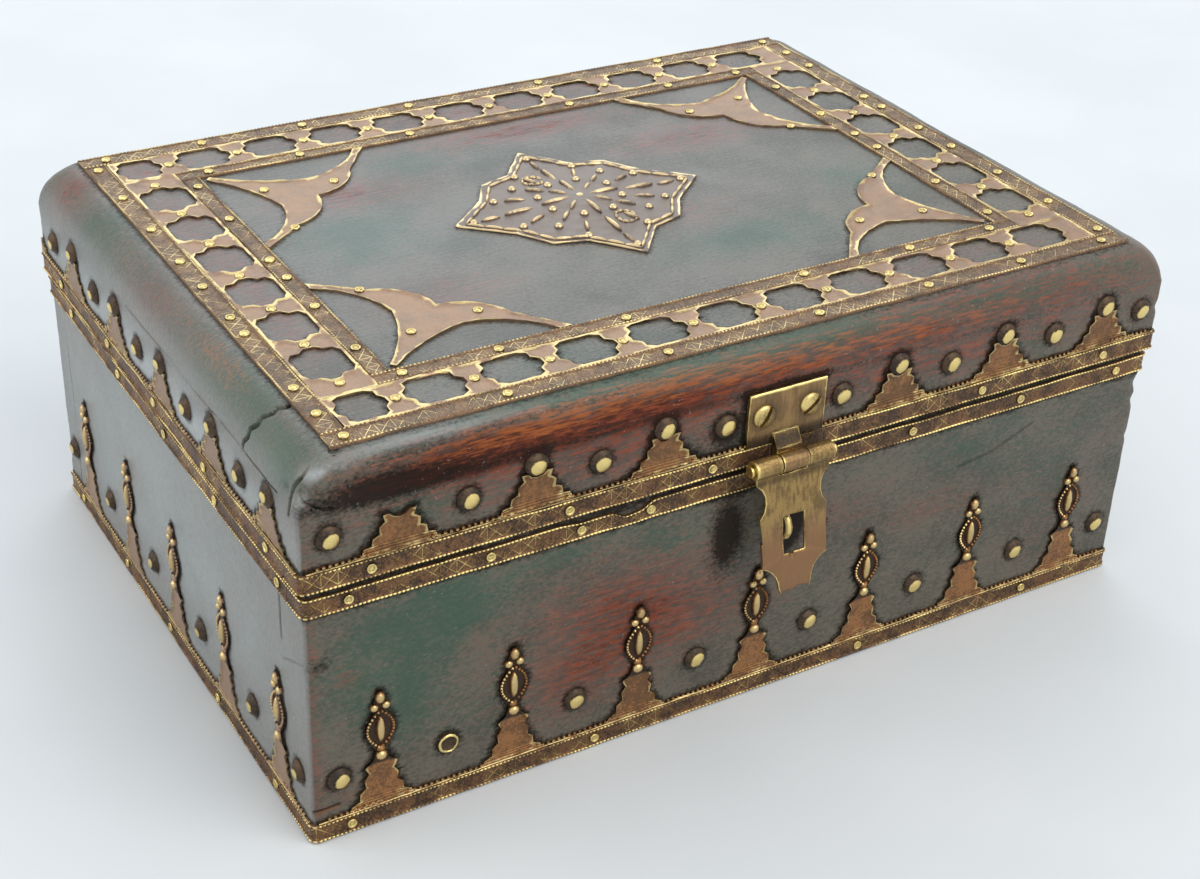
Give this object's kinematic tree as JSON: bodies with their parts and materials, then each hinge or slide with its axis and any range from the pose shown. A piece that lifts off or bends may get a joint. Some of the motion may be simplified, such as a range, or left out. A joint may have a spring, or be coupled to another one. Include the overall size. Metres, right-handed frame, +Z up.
{
  "type": "wooden storage box",
  "caption": "Low painted wooden box with a lift-up lid, bound in embossed brass strips and toothed crests, with domed nails, a lozenge on the lid and a hasp.",
  "frame": {"origin": "centre of the case's footprint, on the surface that the box stands on", "axes": "+Z up, -Y towards the front with the hasp, +X to the right seen from the front"},
  "size_m": [0.287, 0.2153, 0.1205],
  "materials": {
    "painted_wood": "worn dark green and brown paint",
    "strip_brass": "aged, embossed",
    "crest_brass": "aged, coppery",
    "nail_brass": "worn bright",
    "hasp_brass": "aged, brown",
    "screw_brass": "dull",
    "hinge_brass": "dull"
  },
  "bodies": {
    "case": {"base_board": "painted_wood", "case_back_board": "painted_wood", "case_crest_back": "crest_brass", "case_crest_front": "crest_brass", "case_crest_left": "crest_brass", "case_crest_right": "crest_brass", "case_domed_nails": "nail_brass", "case_front_board": "painted_wood", "case_left_board": "painted_wood", "case_right_board": "painted_wood", "foot_strip_back": "strip_brass", "foot_strip_front": "strip_brass", "foot_strip_left": "strip_brass", "foot_strip_right": "strip_brass", "hinge_case_leaf_left": "hinge_brass", "hinge_case_leaf_right": "hinge_brass", "hinge_case_screws": "screw_brass", "hinge_pins": "hinge_brass", "rim_strip_back": "strip_brass", "rim_strip_front": "strip_brass", "rim_strip_left": "strip_brass", "rim_strip_right": "strip_brass", "staple": "hasp_brass"},
    "lid": {"hasp_pin": "hasp_brass", "hasp_plate": "hasp_brass", "hasp_screws": "screw_brass", "hinge_lid_leaves": "hinge_brass", "hinge_lid_screws": "screw_brass", "inner_strip_back": "strip_brass", "inner_strip_front": "strip_brass", "inner_strip_left": "strip_brass", "inner_strip_right": "strip_brass", "lid_back_rail": "painted_wood", "lid_crest_back": "crest_brass", "lid_crest_front": "crest_brass", "lid_crest_left": "crest_brass", "lid_crest_right": "crest_brass", "lid_domed_nails": "nail_brass", "lid_edge_strip_back": "strip_brass", "lid_edge_strip_front": "strip_brass", "lid_edge_strip_left": "strip_brass", "lid_edge_strip_right": "strip_brass", "lid_front_rail": "painted_wood", "lid_left_rail": "painted_wood", "lid_right_rail": "painted_wood", "lid_top_panel": "painted_wood", "medallion": "crest_brass", "outer_strip_back": "strip_brass", "outer_strip_front": "strip_brass", "outer_strip_left": "strip_brass", "outer_strip_right": "strip_brass", "pierced_border_back": "crest_brass", "pierced_border_front": "crest_brass", "pierced_border_left": "crest_brass", "pierced_border_right": "crest_brass", "spandrel_back_left": "crest_brass", "spandrel_back_right": "crest_brass", "spandrel_front_left": "crest_brass", "spandrel_front_right": "crest_brass"},
    "hasp": {"hasp_leaf": "hasp_brass"}
  },
  "joints": [
    {"name": "lid_hinge", "type": "hinge", "parent": "case", "child": "lid", "pos_m": [0, 0.0996, 0.0807], "axis": [-1, 0, 0], "range_deg": [0, 105]},
    {"name": "hasp_hinge", "type": "hinge", "parent": "lid", "child": "hasp", "pos_m": [0.002, -0.1054, 0.0836], "axis": [-1, 0, 0], "range_deg": [-15, 150]}
  ]
}
